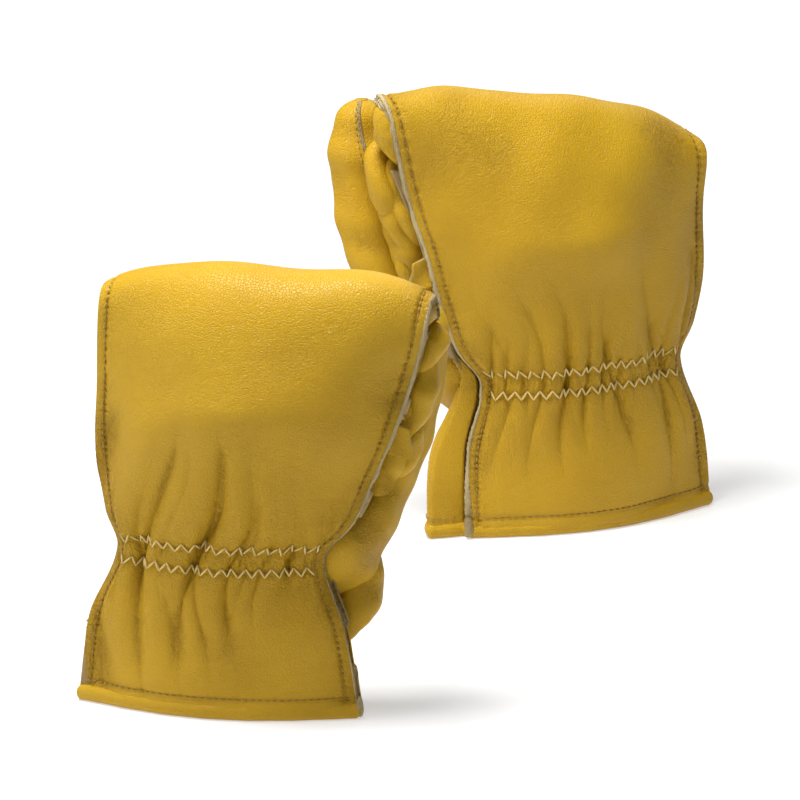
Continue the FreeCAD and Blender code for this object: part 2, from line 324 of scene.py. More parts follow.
def hide_sheet(name, glove, grid, crease, thickness=SHELL):
    """One cut piece of leather: grain outside, suede inside, raw edges all round."""
    rows, columns = grid.shape[:2]
    normal = normals_of(grid)
    inner = grid - normal * thickness
    points = np.concatenate((grid.reshape(-1, 3), inner.reshape(-1, 3)))
    count = rows * columns
    front = quads(rows, columns)
    behind = quads(rows, columns, count)[:, ::-1]
    index = np.arange(count).reshape(rows, columns)
    border = np.concatenate((index[0, :-1], index[:-1, -1], index[-1, :0:-1], index[:0:-1, 0]))
    after = np.roll(border, -1)
    rim = np.stack((after, border, border + count, after + count), -1)
    marks = np.concatenate((np.zeros(len(front)), np.ones(len(behind)), np.full(len(rim), 2)))
    shade = np.concatenate((crease.ravel(), crease.ravel()))
    faces = np.concatenate((front, behind, rim))
    return mesh_object(name, glove, points, faces, marks, (gold_grain, suede, raw_edge), shade)


FINGERS_FROM, FINGER_PITCH, FINGER_WIDTH = -48.5, 24.0, 23.0
FINGERS_TO = FINGERS_FROM + 4 * FINGER_PITCH - 1.0
REAR = 27.5
WALL_ROWS, FOLD_ROWS, COLUMNS = 112, 66, 215
WALL_TOP, KNUCKLES, FOLD_END = 131.0, 179.3, 151.0
MIDDLE = COLUMNS // 2


def bezier(a, b, c, d, t):
    s = 1 - t
    return a * s ** 3 + 3 * b * s * s * t + 3 * c * s * t * t + d * t ** 3


def back_grid(glove, across):
    """Points of the back panel before it is gathered: rows from the cuff over the fold."""
    u = across[None, :]
    z = np.linspace(HEM_TOP, WALL_TOP, WALL_ROWS)[:, None]
    front = back_wall(glove, u, z)
    swell = 5.0 * np.exp(-((z - 127) / 19) ** 2) * (1 - u * u) ** 1.2
    front[..., 1] -= swell
    start, before = front[-1], front[-2]
    lean = (start - before) / np.linalg.norm(start - before, axis=-1, keepdims=True)
    little, index = glove["drop"]
    drop = np.where(across < 0, little * np.abs(across) ** 3.5, index * np.abs(across) ** 4)
    x_top = outline(glove, 165.0)
    top_x = (x_top[0] + x_top[1]) / 2 + across * (x_top[1] - x_top[0]) / 2
    web = np.clip((top_x - FINGERS_TO) / (x_top[1] - FINGERS_TO), 0, 1)
    edge = np.abs(across) ** 8
    crest = KNUCKLES - drop + glove["tilt"] * (top_x - 12.0)
    crest = crest + 18 * glove["tilt"] * np.exp(-((top_x - 60) / 17) ** 2)
    ridge = np.stack((top_x, 6.0 + 4.0 * across ** 2, crest), -1)
    hem_up = FOLD_END - 0.25 * drop + glove["web_rise"] * web ** 1.5
    rear = np.stack((top_x, REAR - 9.0 * web ** 2 - 3.0 * edge, hem_up), -1)
    up = np.array((0, 0, 1.0))
    back = np.array((0, 1.0, 0))
    rows = []
    height = ridge[:, 2:3] - start[:, 2:3]
    for t in np.linspace(0, 1, FOLD_ROWS // 2 + 1)[1:]:
        rows.append(bezier(start, start + lean * height * 0.55, ridge - back * 17, ridge, t))
    fall = (ridge[:, 2:3] - rear[:, 2:3])
    for t in np.linspace(0, 1, FOLD_ROWS // 2 + 1)[1:]:
        reach = (rear[:, 1:2] - ridge[:, 1:2]) * 0.62
        rows.append(bezier(ridge, ridge + back * reach, rear + up * fall * 0.5, rear, t))
    return np.concatenate((front, np.stack(rows)), 0)


def gathers(glove, grid, across, face):
    """How far the leather stands out, in millimetres: puckers at the elastic that run
    together into fewer, broader folds above and below it."""
    draw = np.random.default_rng(glove["seed"] + (0 if face < 0 else 50))
    z = grid[..., 2]
    low, high = outline(glove, z)[:2]
    away = z - WRIST
    x = across[None, :] * (high - low) / 2 / (1 + 0.22 * np.abs(away) / 60)
    out = np.zeros(z.shape)
    for period, height, above, below in glove["folds"]:
        warp = draw.uniform(0, 6.28, 4)
        bend = 0.55 * period * np.sin(x / (period * 1.9) + warp[0])
        bend = bend + 0.30 * period * np.sin(away / (period * 1.3) + x / 19 + warp[1])
        ridges = np.abs(np.sin(math.pi * (x + bend) / period + warp[2])) ** 0.72 - 0.62
        uneven = 0.72 + 0.28 * np.sin(x / (period * 0.83) + warp[3])
        reach = np.where(away > 0, above, below) * (0.75 + 0.35 * np.sin(x / (period * 1.4) + warp[1]))
        out += height * uneven * ridges * np.exp(-(np.abs(away) / np.maximum(reach, 4)) ** 1.8)
    rows_apart = np.exp(-(np.abs(away) / 7.0) ** 4)
    out += 0.35 * rows_apart * np.sin(x * 2.9 + 1.5 * np.sin(away / 2))
    out += glove["lift"] * np.exp(-(away / 24) ** 2)
    side = np.clip((1 - np.abs(across)) * 8, 0, 1)[None, :]
    out = out * np.clip((129 - z) / 22, 0, 1) ** 1.5
    soft = np.where(out < 0, -2.6 * np.tanh(-out / 2.6), 3.4 * np.tanh(out / 3.4))
    return soft * side


def rumple(grid, scale, amount, seed):
    """Slow unevenness of a hide that has been worn and folded."""
    draw = np.random.default_rng(seed)
    out = np.zeros(grid.shape[:2])
    for _ in range(14):
        way = draw.normal(size=3)
        way /= np.linalg.norm(way)
        length = scale * draw.uniform(0.6, 1.8)
        out += np.sin(grid @ way * 2 * math.pi / length + draw.uniform(0, 6.28))
    return out * amount / 4


def walked(points):
    """How far along a path each of its points lies."""
    return np.concatenate(((0,), np.cumsum(np.linalg.norm(np.diff(points, axis=0), axis=-1))))


def sewn_line(glove, grid, across, inset, pitch):
    """The dip along a seam and the small pucker at every stitch."""
    half = np.linalg.norm(grid[:, -1] - grid[:, 0], axis=-1)[:, None] / 2
    from_edge = (1 - np.abs(across))[None, :] * half
    along = walked(grid[:, 0])
    dip = -0.75 * np.exp(-((from_edge - inset) / 0.9) ** 2)
    pucker = 0.34 * np.exp(-((from_edge - inset) / 2.4) ** 2)
    pucker = pucker * np.sin(2 * math.pi * along / pitch)[:, None]
    wave = 0.45 * np.exp(-(from_edge / 5.0) ** 2) * np.sin(along / 7.0 + glove["seed"])[:, None]
    return dip + pucker + wave


SEAM_INSET, SEAM_PITCH = 3.7, 2.7
ROWS_APART = 4.5
HEM_LINE = 8.5


def back_surface(glove, across):
    """The finished back: gathered, pinched under the zigzags, dipped along its seams."""
    grid = back_grid(glove, across)
    out = gathers(glove, grid, across, -1)
    pinch = sum(np.exp(-((grid[..., 2] - WRIST - s * ROWS_APART) / 1.3) ** 2) for s in (-1, 1))
    middle = np.clip((1 - np.abs(across)) * 8, 0, 1)[None, :]
    on_wall = (np.arange(grid.shape[0]) < WALL_ROWS)[:, None]
    out = out - 0.8 * pinch * middle * on_wall
    hem_dip = -0.7 * np.exp(-((grid[..., 2] - HEM_LINE) / 1.0) ** 2) * on_wall
    seam = sewn_line(glove, grid, across, SEAM_INSET, SEAM_PITCH)
    out = out * on_wall + hem_dip + seam + rumple(grid, 46.0, 1.0, glove["seed"])
    # crease darkens the colour: its fold-valley part and the band round the gathered wrist are painted
    # shade, and the part along the side edges of the back is wear.
    edges = 0.30 * np.clip(np.abs(across)[None, :] * 3 - 2, 0, 1) ** 2 * on_wall
    gathered = 0.34 * on_wall * np.exp(-((grid[..., 2] - WRIST) / 34) ** 2)
    crease = np.clip(-out * 0.32, 0, 0.8) + edges + gathered
    return grid + normals_of(grid) * out[..., None], crease


STEPS = np.linspace(-1, 1, COLUMNS)
ACROSS = np.sin(STEPS * math.pi / 2) * 0.35 + STEPS * 0.65
FOLD_LINE, BEND_REACH = 159.25, 9
for name, glove in GLOVES.items():
    grid, crease = back_surface(glove, ACROSS)
    glove["back"] = grid
    panel = hide_sheet(name + "_back_leather", glove, grid, crease)
    front = float(grid[WALL_ROWS, MIDDLE, 1])
    glove["bend"] = [spot(glove, 0, front, FOLD_LINE + reach) for reach in (-BEND_REACH, BEND_REACH)]
    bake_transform(panel)
    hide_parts(name + "_back_panel", name + "_fold_back")


# ---------------------------------------------------------------------------------------
# Palm panel.  A second piece of the same leather, sewn to the back along both sides; it
# closes the hand behind and wrinkles across at the wrist.

PALM_TOP, PALM_ROWS, PALM_COLUMNS = 158.0, 140, 161
PALM_SWELL = {
    "left": ((0.0, 22.0, 38.0, 50.0, 64.0, 80.0), (1.0, 1.5, 2.5, 3.0, 3.0, 2.0)),
    "right": ((0.0, 30.0, 48.0, 64.0, 80.0, 95.0), (21.0, 18.5, 13.0, 10.0, 6.0, 0.0)),
}
CORNER_FALL = {"left": 0.0, "right": 9.0}


def palm_wall(glove, swelling, u, z):
    """Outer face of the palm, which swells past the index seam; u is -1 to 1 across."""
    low, high, _, bow, seam = outline(glove, z)
    swell = smooth(*swelling, z)
    power = 1.2 - 0.55 * np.clip(swell / 10, 0, 1) * np.clip(u * 3, 0, 1)
    x = (low + high) / 2 + u * (high - low) / 2
    x = x + swell * 3.1 * np.clip(u, 0, 1) ** 3 * np.sqrt(np.maximum(1 - u * u, 0))
    y = seam + (SEAM_GAP + 0.3 * (1 + u) + SHELL + bow * np.maximum(1 - u * u, 0) ** power)
    y = y - 0.16 * swell * np.sin(math.pi * np.clip((1 - u) / 0.15, 0, 1))
    return np.stack(np.broadcast_arrays(x, y, z), -1)


for name, glove in GLOVES.items():
    z = np.linspace(HEM_TOP, PALM_TOP, PALM_ROWS)[:, None]
    across = np.sin(np.linspace(-1, 1, PALM_COLUMNS) * math.pi / 2)
    fall = CORNER_FALL[name] * np.clip((-across - 0.7) / 0.3, 0, 1)[None, :]
    height = z - fall * (z / PALM_TOP) ** 8
    grid = palm_wall(glove, PALM_SWELL[name], across[None, :], height)[:, ::-1]
    out = gathers(glove, grid, across[::-1], 1) * 0.8
    out += 0.35 * np.exp(-((z - WRIST) / 12) ** 2) * np.sin(z * 1.25 + 2.0 * across[None, ::-1])
    out = np.minimum(out, 1.2) * np.clip((1 - np.abs(across)) * 8, 0, 1)[None, ::-1]
    out += sewn_line(glove, grid, across[::-1], SEAM_INSET, SEAM_PITCH) * 0.8
    out += rumple(grid, 60.0, 0.4, glove["seed"] + 1)
    out = np.where(grid[..., 2] > 95, np.minimum(out, 0.3), out)
    glove["palm"] = grid + normals_of(grid) * out[..., None]
    # The crease values darken the colour as painted shade, in the dips of the palm and in a band around the
    # wrist.
    palm = hide_sheet(name + "_palm_leather", glove, glove["palm"],
                      np.clip(-out * 0.25 + 0.4 * np.exp(-((z - WRIST) / 24) ** 2), 0, 0.7))
    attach(palm, name + "_hand")
    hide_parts(name + "_palm_panel")


# ---------------------------------------------------------------------------------------
# Rolled hem.  The leather of the cuff is turned over a core at the mouth and sewn down;
# it is a soft roll that the glove stands on.

HEM_TALL, HEM_THICK, HEM_INSET = 6.4, 5.4, 1.9
HEM_STEPS = 280


def evenly(loop, count):
    """The same closed loop with its points spaced evenly."""
    far = walked(loop)
    at = np.linspace(0, far[-1], count, endpoint=False)
    return np.stack([np.interp(at, far, loop[:, k]) for k in range(loop.shape[1])], -1)


for name, glove in GLOVES.items():
    across = np.sin(np.linspace(-1, 1, 400) * math.pi / 2)
    front = back_wall(glove, across, HEM_TOP)[:, :2]
    behind = palm_wall(glove, PALM_SWELL[name], across[::-1], HEM_TOP)[:, :2]
    ring = evenly(np.concatenate((front, behind[1:-1], front[:1])), HEM_STEPS)
    tangent = unit(np.roll(ring, -3, 0) - np.roll(ring, 3, 0))
    outward = np.stack((tangent[:, 1], -tangent[:, 0], np.zeros(HEM_STEPS)), -1)
    angle = np.linspace(0, 2 * math.pi, 24, endpoint=False)
    section = np.stack((np.cos(angle) * HEM_THICK / 2 - HEM_INSET, HEM_TALL / 2 * (1 + np.sin(angle))), -1)
    path = np.concatenate((ring, np.zeros((HEM_STEPS, 1))), 1)
    step = np.arange(HEM_STEPS)
    wobble = 0.14 * np.sin(step * 0.31) + 0.06 * np.sin(step * 0.9)
    path[:, :2] += outward[:, :2] * wobble[:, None]
    up = np.array((0, 0, 1.0))
    rings = path[:, None, :] + outward[:, None, :] * section[None, :, :1] + up * section[None, :, 1:]
    points = rings.reshape(-1, 3)
    faces = quads(HEM_STEPS + 1, len(section), closed=True) % len(points)
    hem = mesh_object(name + "_hem_roll", glove, points, faces, np.zeros(len(faces)), (gold_grain,))
    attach(hem, name + "_hand")
    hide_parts(name + "_cuff_hem")


# ---------------------------------------------------------------------------------------
# Fingers.  Four flattened tubes, each a back and a palm piece sewn together down both
# sides, hang from the rear edge of the back panel behind the palm.

FINGER_LENGTHS = {"little": 52.0, "ring": 64.0, "middle": 70.0, "index": 62.0}
FINGER_DEPTH = 16.8
FINGER_ROWS, TUBE_SIDES = 54, 64
SWING_FROM, SWING_TO = 0.1625, 0.1475


def closed_roll(name, glove, grid, crease):
    """Rings of points joined up and closed at both ends."""
    rows, columns = grid.shape[:2]
    points = np.concatenate((grid.reshape(-1, 3), grid[:1].mean(1), grid[-1:].mean(1)))
    ring = np.arange(columns)
    first = np.stack((np.roll(ring, -1), ring, np.full(columns, rows * columns)), -1)
    start = (rows - 1) * columns
    peak = np.full(columns, rows * columns + 1)
    last = np.stack((start + ring, start + np.roll(ring, -1), peak), -1)
    faces = quads(rows, columns, closed=True)
    shade = np.concatenate((crease.ravel(), (0, 0)))
    marks = np.zeros(len(faces))
    return mesh_object(name, glove, points, faces, marks, (gold_grain,), shade, (first, last))


def closed_tube(name, glove, centres, wide, deep, ridge, wrinkle, seed, square=1.0, scale=24.0):
    """A closed leather tube down a line of centres, with a seam ridge on both sides."""
    angle = np.linspace(0, 2 * math.pi, TUBE_SIDES, endpoint=False)
    seam = np.exp(-(np.sin(angle) / 0.16) ** 2)
    x = np.sign(np.cos(angle)) * np.abs(np.cos(angle)) ** square
    x = x[None, :] * (wide[:, None] + ridge * seam[None, :] * np.clip(wide[:, None] / 6, 0, 1))
    y = np.sign(np.sin(angle)) * np.abs(np.sin(angle)) ** 0.85
    y = y[None, :] * deep[:, None]
    z = np.broadcast_to(centres[:, 2:3], x.shape)
    grid = np.stack((centres[:, :1] + x, centres[:, 1:2] + y, z), -1)
    out = rumple(grid, scale, wrinkle, seed)
    fullness = np.clip(wide[:, None] / wide.max(), 0, 1)
    push = np.stack((np.cos(angle), np.sin(angle), np.zeros(TUBE_SIDES)), -1)[None]
    grid = grid + push * (out * fullness)[..., None]
    # crease darkens the colour: painted shade in the dips, and a band around 74 mm up is darker and more
    # wrinkled.
    crease = np.clip(-out * 0.3 + 0.4 * np.exp(-((grid[..., 2] - 74) / 30) ** 2), 0, 0.7)
    return closed_roll(name, glove, grid, crease), grid


for name, glove in GLOVES.items():
    glove["finger_grids"], glove["finger_bends"] = {}, {}
    for order, (finger, length) in enumerate(FINGER_LENGTHS.items()):
        top = 163.0 - glove["tilt"] * max(0, 40 * (1 - order))
        tip = FINGER_WIDTH * 0.55
        total = length + top - FOLD_LINE
        down = np.sin(np.linspace(0, 1, FINGER_ROWS) * math.pi / 2) * total
        close = np.clip((total - down) / tip, 0.02, 1)
        share = np.sqrt(1 - (1 - close) ** 2)
        first_joint = 0.07 * np.exp(-((down - total * 0.42) / 3) ** 2)
        share *= 1 - first_joint - 0.05 * np.exp(-((down - total * 0.72) / 2.5) ** 2)
        x = FINGERS_FROM + FINGER_WIDTH / 2 + order * FINGER_PITCH
        y = REAR - 0.9 - FINGER_DEPTH / 2
        centres = np.stack((np.full(FINGER_ROWS, x), np.full(FINGER_ROWS, y), top - down), -1)
        wide, deep = share * (FINGER_WIDTH / 2 - 0.4), share * (FINGER_DEPTH / 2 - 0.9)
        seed = glove["seed"] * 10 + order
        skin, grid = closed_tube(f"{name}_{finger}_finger_leather", glove, centres[::-1], wide[::-1],
                                 deep[::-1], 0.5, 0.7, seed, 0.75)
        glove["finger_grids"][finger] = grid
        swing = joint[f"{name}_{finger}_finger_swing"]["pos_m"]
        start, end = (*swing[:2], SWING_FROM), (*swing[:2], SWING_TO)
        glove["finger_bends"][finger] = (start, end)
        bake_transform(skin)
        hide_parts(f"{name}_{finger}_finger_back", f"{name}_{finger}_finger_palm")


# ---------------------------------------------------------------------------------------
# Palm leather in the fold.  Where the glove folds over, the palm leather has nowhere to
# go and crumples into soft lobes; they show beside the index seam.

FOLD_BULGE = {"left": 3.5, "right": 7.0}
LOBE_RINGS = 48
LOBES = {
    "left": (
        ((59, 11, 82), (65, 12, 108), (72, 13, 134), (76, 14, 158), 8.0),
        ((68, 12, 96), (72, 13, 106), (73, 14, 116), (71, 14, 124), 5.5),
        ((70, 10, 112), (76, 11, 124), (80, 12, 136), (80, 13, 148), 6.5),
        ((76, 11, 138), (81, 12, 147), (83, 13, 154), (81, 14, 159), 6.0),
        ((42, 12, 26), (48, 14, 36), (52, 17, 50), (52, 20, 68), 10.5),
    ),
    "right": (
        ((63, 12, 84), (72, 13, 110), (81, 15, 138), (85, 18, 160), 8.0),
        ((69, 11, 98), (73, 13, 110), (77, 14, 120), (77, 15, 130), 6.0),
        ((75, 10, 118), (80, 12, 132), (84, 15, 144), (84, 17, 153), 7.0),
        ((80, 12, 130), (86, 13, 145), (89, 16, 158), (87, 18, 167), 7.5),
        ((64, 9, 88), (67, 10, 95), (69, 11, 101), (68, 12, 107), 5.5),
        ((74, 8, 124), (78, 8, 136), (82, 9, 149), (85, 10, 161), 5.5),
    ),
}

for name, glove in GLOVES.items():
    for number, line in enumerate(LOBES[name]):
        girth = line[4]
        centres = bezier(*np.array(line[:4], float), np.linspace(0, 1, LOBE_RINGS)[:, None])
        fat = np.sin(np.linspace(0.03, 0.98, LOBE_RINGS) * math.pi) ** 0.55
        wide, deep = girth * fat + 0.3, 0.72 * girth * fat + 0.3
        lobe, _ = closed_tube(f"{name}_fold_lobe_{number + 1}", glove, centres, wide, deep, 0.0, 0.9,
                              glove["seed"] + 30 + number, scale=13.0)
        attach(lobe, name + "_hand")
    grid = glove["back"]
    inner = grid - normals_of(grid) * (SHELL + 0.5)
    rings = []
    for column in range(5, COLUMNS - 4, 2):
        arc = inner[WALL_ROWS - 12:, column]
        if arc[:, 2].max() < FOLD_LINE + 4.0:
            continue
        arc = arc[arc[:, 2] > FOLD_LINE + 1.0]
        floor_back = np.linspace(arc[-1], (arc[0, 0], arc[0, 1], FOLD_LINE + 1.0), 14)
        rings.append(evenly(np.concatenate((arc, floor_back[1:], arc[:1])), 72))
    for end, way in ((0, -1.0), (-1, 1.0)):
        heart = rings[end].mean(0)
        domed = []
        for t in np.linspace(0, 1, 12)[1:]:
            shrink = math.sqrt(max(1 - t * t, 0.0004))
            reach = FOLD_BULGE[name] if way > 0 else 2.0
            domed.append(heart + (rings[end] - heart) * shrink + np.array((way * reach * t, 0, -2.0 * t)))
        rings = rings + domed if way > 0 else domed[::-1] + rings
    grid = np.stack(rings)
    out = rumple(grid, 17.0, 0.9, glove["seed"] + 60)
    shrunk = np.minimum(out, 0.0) * np.clip(np.abs(grid[..., 2] - FOLD_LINE - 1) / 3, 0, 1)
    grid = grid + unit(grid - grid.mean(1, keepdims=True)) * shrunk[..., None]
    # Its dips are darkened as painted shade through the crease values.
    stuff = closed_roll(f"{name}_fold_inside", glove, grid, np.clip(-out * 0.4, 0, 0.7))
    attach(stuff, name + "_fold")
    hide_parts(name + "_fold_palm")


# ---------------------------------------------------------------------------------------
# Thumb.  A wide tube of leather set into the palm at its root; it stands up behind the
# index side, with its seam on the outside.

THUMB_WIDTH, THUMB_DEPTH, THUMB_ROWS = 25.0, 20.0, 84
THUMB_BEND_FROM, THUMB_BEND_TO = 0.050, 0.084
THUMB_HEIGHTS = (54.0, 80.0, 105.0, 130.0, 150.0, 170.0)
THUMBS = {
    "left": (164.0, (43.0, 53.5, 63.0, 69.0, 69.0, 66.0), (16.0, 20.0, 25.0, 31.0, 36.5, 39.5)),
    "right": (179.0, (46.0, 62.0, 78.0, 84.5, 85.5, 84.5), (22.0, 25.0, 28.0, 33.0, 37.5, 39.5)),
}
for name, glove in GLOVES.items():
    base = 44.0
    tip, across, behind = THUMBS[name]
    z = base + (tip - base) * np.sin(np.linspace(0, 1, THUMB_ROWS) * math.pi / 2)
    x = smooth(THUMB_HEIGHTS, across, z) - np.clip(54 - z, 0, 9) * 0.5
    y = smooth(THUMB_HEIGHTS, behind, z)
    centres = np.stack((x, y, z), -1)
    close = np.clip((tip - z) / (THUMB_WIDTH * 0.6), 0.02, 1)
    root = np.clip((z - base + 1.0) / 16, 0.05, 1)
    heel = 5.0 * np.exp(-((z - 72) / 20) ** 2)
    centres[:, 1] -= heel * 0.9
    share = np.sqrt(1 - (1 - close) ** 2) * (0.35 + 0.65 * np.sin(root * math.pi / 2))
    wide, deep = share * (THUMB_WIDTH / 2 + 0.3 * heel), share * (THUMB_DEPTH / 2 + heel)
    skin, grid = closed_tube(name + "_thumb_leather", glove, centres, wide, deep, 1.2, 1.1,
                             glove["seed"] + 7, 0.88)
    glove["thumb_grid"] = grid
    swing = joint[name + "_thumb_swing"]["pos_m"]
    start, end = (*swing[:2], THUMB_BEND_FROM), (*swing[:2], THUMB_BEND_TO)
    glove["thumb_bend"] = (start, end)
    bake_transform(skin)
    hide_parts(name + "_thumb_front", name + "_thumb_rear")


# ---------------------------------------------------------------------------------------
# Index side welt.  Back, welt and palm are sewn together with their cut edges outside, so
# three raw plies show in a narrow band along the seam; the welt's end is a loose tab.


def raw_strip(name, glove, path, across, out, section, seed, girth=1.0):
    """Cut plies along a path: section is measured across the seam and out of it."""
    draw = np.random.default_rng(seed)
    rag = np.convolve(draw.normal(0, 0.36, len(path)), np.ones(3) / 3, mode="same")
    section = np.array(section)
    far = section[:, 0] > 0.2
    across = across * np.reshape(girth, (-1, 1))
    rings = path[:, None] + across[:, None] * section[None, :, :1]
    rings = rings + out[:, None] * section[None, :, 1:]
    rings = rings + across[:, None] * (rag[:, None] * far[None, :])[..., None]
    ends = [rings[end].mean(0) + (rings[end] - rings[end].mean(0)) * 0.3 for end in (0, -1)]
    strip = closed_roll(name, glove, np.concatenate((ends[0][None], rings, ends[1][None])),
                        np.zeros((len(rings) + 2) * len(section)))
    strip.data.materials[0] = raw_edge
    return strip


TAB_FROM, TAB_TO, TAB_REACH, TAB_THICK = 108.5, 121.5, 8.5, 1.2
CUFF_PLY = {"left": (0.0, 0.0), "right": (0.45, 1.1)}
PLIES = (
    (-0.6, -3.9), (0.4, -4.0), (0.8, -3.6), (0.8, -2.9), (0.2, -2.55), (0.9, -2.2),
    (0.85, -1.5), (0.15, -1.15), (0.85, -0.8), (0.8, -0.1), (0.5, 0.2), (-0.6, 0.12),
)
for name, glove in GLOVES.items():
    grid = glove["back"]
    last = len(grid) - 3
    path = grid[1:last, -1]
    across = unit(grid[1:last, -1] - grid[1:last, -5])
    out = normals_of(grid)[1:last, -6]
    girth = 0.5 + 0.55 * np.clip((path[:, 2] - 62) / 30, 0, 1)
    cuff, foot = CUFF_PLY[name]
    girth += cuff * np.clip((66 - path[:, 2]) / 14, 0, 1) + foot * np.exp(-((path[:, 2] - 10) / 9) ** 2)
    strip = raw_strip(name + "_index_welt_strip", glove, path, across, out, PLIES, glove["seed"], girth)
    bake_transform(strip)
    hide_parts(name + "_index_welt")
    _, high, _, _, seam = outline(glove, (TAB_FROM + TAB_TO) / 2)
    z = np.linspace(TAB_FROM, TAB_TO, 20)[:, None]
    reach = np.linspace(0, TAB_REACH, 12)[None, :]
    x = high - 1.5 + reach + 0.10 * (TAB_TO - z) * reach / TAB_REACH + 0.3 * np.sin(z * 0.9)
    y = seam - 0.6 + 0.20 * reach + 0.6 * np.sin(z / 3.0 + reach / 3)
    z = z - 0.35 * reach
    tab_grid = np.stack(np.broadcast_arrays(x, y, z), -1)
    tab = hide_sheet(name + "_welt_tab", glove, tab_grid, np.full((20, 12), 0.15), TAB_THICK)
    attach(tab, name + "_hand")
    centres = grid[0, -1] * np.array((1, 1, 0)) + np.linspace((0.2, 0.6, 1.0), (0.9, -0.4, 9.5), 16)
    fat = np.sin(np.linspace(0.08, 0.97, 16) * math.pi) ** 0.5
    knot, _ = closed_tube(name + "_seam_end_knot", glove, centres, 2.3 * fat, 2.0 * fat, 0.0, 0.9,
                          glove["seed"] + 5)
    knot.data.materials[0] = raw_edge
    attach(knot, name + "_hand")


# ---------------------------------------------------------------------------------------
# Thread.  Golden thread in lockstitch rows down the seams and above the hem, and two
# zigzag rows of paler thread that hold the elastic at the wrist.


def twist_group():
    """The twist of sewing thread, as one value."""
    tree, given, result = new_group("Thread twist", {"Twist size": 2200.0}, ("Twist",))
    place = node(tree, "ShaderNodeTexCoord").outputs["Object"]
    strands = node(tree, "ShaderNodeTexNoise", {"Vector": place, "Scale": given.outputs["Twist size"]},
                   {"Detail": 2.0})
    wire(tree, result, {"Twist": strands.outputs["Fac"]})
    return tree


thread_twist = twist_group()


def fibre_finish(name, deep, pale, fibre, strength, distance, rough):
    """A finish whose tone and relief both follow fibre, an output of a node of its tree."""
    material, tree, shader = new_finish(name)
    height = fibre(tree)
    tone = node(tree, "ShaderNodeValToRGB", {"Fac": height})
    for stop, colour in zip(tone.color_ramp.elements, (deep, pale)):
        stop.color = (*colour, 1)
    relief = node(tree, "ShaderNodeBump", {"Height": height}, {"Strength": strength, "Distance": distance})
    wire(tree, shader, {"Base Color": tone.outputs["Color"], "Normal": relief.outputs["Normal"]})
    shader.inputs["Roughness"].default_value = rough
    return material


def thread_finish(name, deep, pale):
    def fibre(tree):
        return node(tree, "ShaderNodeGroup", node_tree=thread_twist).outputs["Twist"]

    material = fibre_finish(name, deep, pale, fibre, 0.6, 0.0002, 0.65)
    material.node_tree.nodes["Principled BSDF"].inputs["Sheen Weight"].default_value = 0.25
    return material


pale_thread = thread_finish("Pale thread", (0.50, 0.34, 0.07), (0.80, 0.62, 0.24))
gold_thread = thread_finish("Golden thread", (0.22, 0.115, 0.006), (0.42, 0.25, 0.02))


def stitch_tree():
    """A stitch at every point: a rounded bar, as long and as thick as the inputs say."""
    tree = bpy.data.node_groups.new("Stitch row", "GeometryNodeTree")
    tree.interface.new_socket("Geometry", in_out="INPUT", socket_type="NodeSocketGeometry")
    for name, value in (("Stitch length", 0.0024), ("Thread", 0.0007)):
        socket = tree.interface.new_socket(name, in_out="INPUT", socket_type="NodeSocketFloat")
        socket.default_value = value
    tree.interface.new_socket("Material", in_out="INPUT", socket_type="NodeSocketMaterial")
    tree.interface.new_socket("Geometry", in_out="OUTPUT", socket_type="NodeSocketGeometry")
    given, result = tree.nodes.new("NodeGroupInput"), tree.nodes.new("NodeGroupOutput")
    bead = node(tree, "GeometryNodeMeshUVSphere", values={"Segments": 8, "Rings": 6, "Radius": 0.5})
    thick = given.outputs["Thread"]
    size = node(tree, "ShaderNodeCombineXYZ", {"X": given.outputs["Stitch length"], "Y": thick, "Z": thick})
    turn = node(tree, "GeometryNodeInputNamedAttribute", values={"Name": "turn"}, data_type="FLOAT_VECTOR")
    rotation = node(tree, "FunctionNodeEulerToRotation", {"Euler": turn.outputs["Attribute"]})
    points = node(tree, "GeometryNodeMeshToPoints", {"Mesh": given.outputs["Geometry"]})
    put = node(tree, "GeometryNodeInstanceOnPoints", {
        "Points": points.outputs["Points"], "Instance": bead.outputs["Mesh"],
        "Rotation": rotation.outputs["Rotation"], "Scale": size.outputs["Vector"],
    })
    real = node(tree, "GeometryNodeRealizeInstances", {"Geometry": put.outputs["Instances"]})
    soft = node(tree, "GeometryNodeSetShadeSmooth", {"Geometry": real.outputs["Geometry"]})
    dyed = node(tree, "GeometryNodeSetMaterial", {
        "Geometry": soft.outputs["Geometry"], "Material": given.outputs["Material"],
    })
    wire(tree, result, {"Geometry": dyed.outputs["Geometry"]})
    return tree


stitch_row = stitch_tree()


def sew(name, glove, middles, along, facing, length, thread, material=gold_thread):
    """Stitches at middles, laid along and facing out, as one plain mesh."""
    world = place(glove, middles)
    ahead = place(glove, middles + along) - world
    out = place(glove, middles + facing) - world
    turns = []
    for way, up in zip(ahead, out):
        x = Vector(way).normalized()
        z = Vector(up).normalized()
        y = z.cross(x).normalized()
        z = x.cross(y)
        turns.append(Matrix((x, y, z)).transposed().to_euler())
    holes = bpy.data.meshes.new(name)
    holes.from_pydata([tuple(p) for p in world], [], [])
    layer = holes.attributes.new("turn", "FLOAT_VECTOR", "POINT")
    layer.data.foreach_set("vector", np.array(turns, np.float32).ravel())
    row = bpy.data.objects.new(name, holes)
    bpy.context.scene.collection.objects.link(row)
    nodes = row.modifiers.new("Stitches", "NODES")
    nodes.node_group = stitch_row
    sockets = stitch_row.interface.items_tree
    inputs = {item.name: item.identifier for item in sockets if item.in_out == "INPUT"}
    nodes[inputs["Stitch length"]] = length / 1000
    nodes[inputs["Thread"]] = thread / 1000
    nodes[inputs["Material"]] = material
    seen = row.evaluated_get(bpy.context.evaluated_depsgraph_get())
    row_mesh = bpy.data.meshes.new_from_object(seen)
    row.modifiers.clear()
    row.data = row_mesh
    return row


